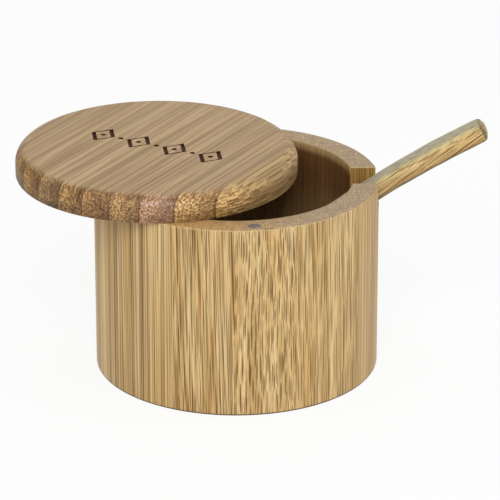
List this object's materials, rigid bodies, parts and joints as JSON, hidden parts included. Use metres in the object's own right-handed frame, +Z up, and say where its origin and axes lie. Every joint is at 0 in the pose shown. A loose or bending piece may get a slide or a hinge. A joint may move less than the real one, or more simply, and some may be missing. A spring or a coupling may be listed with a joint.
{
  "type": "salt box",
  "caption": "Round bamboo salt box with a disc lid that swivels sideways on an upright pin, magnets that hold it shut, and a spoon in a rim notch.",
  "frame": {"origin": "middle of the underside of the box, where it stands on a surface", "axes": "+Z up; +X from the middle of the box through the spoon notch, so the spoon leans out towards +X; +Y towards the back, where the pivot pin stands 95.2 degrees round from the notch"},
  "size_m": [0.1472, 0.0943, 0.078],
  "materials": {
    "box_bamboo": "oiled bamboo, fine vertical grain",
    "strip_bamboo_light": "oiled bamboo",
    "strip_bamboo_mid": "oiled bamboo",
    "strip_bamboo_dark": "oiled bamboo",
    "spoon_bamboo": "oiled bamboo",
    "magnet_nickel": "nickel plated",
    "pin_steel": "ground"
  },
  "bodies": {
    "box": {"box_body": "box_bamboo", "rim_magnet": "magnet_nickel"},
    "lid": {"pivot_pin": "pin_steel", "lid_magnet": "magnet_nickel", "lid_strip_left_5": "strip_bamboo_mid", "lid_strip_left_4": "strip_bamboo_mid", "lid_strip_left_3": "strip_bamboo_mid", "lid_strip_left_2": "strip_bamboo_dark", "lid_strip_left_1": "strip_bamboo_light", "lid_strip_right_1": "strip_bamboo_dark", "lid_strip_right_2": "strip_bamboo_mid", "lid_strip_right_3": "strip_bamboo_dark", "lid_strip_right_4": "strip_bamboo_light", "lid_strip_right_5": "strip_bamboo_light"},
    "spoon": {"spoon": "spoon_bamboo"}
  },
  "joints": [
    {"name": "lid_swivel", "type": "hinge", "parent": "box", "child": "lid", "pos_m": [-0.00367, 0.04028, 0.0615], "axis": [0, 0, 1], "range_deg": [-221, 36.6]},
    {"name": "spoon_slide", "type": "slide", "parent": "box", "child": "spoon", "axis": [0.8018, 0, 0.5976], "range_m": [0, 0.014]}
  ]
}
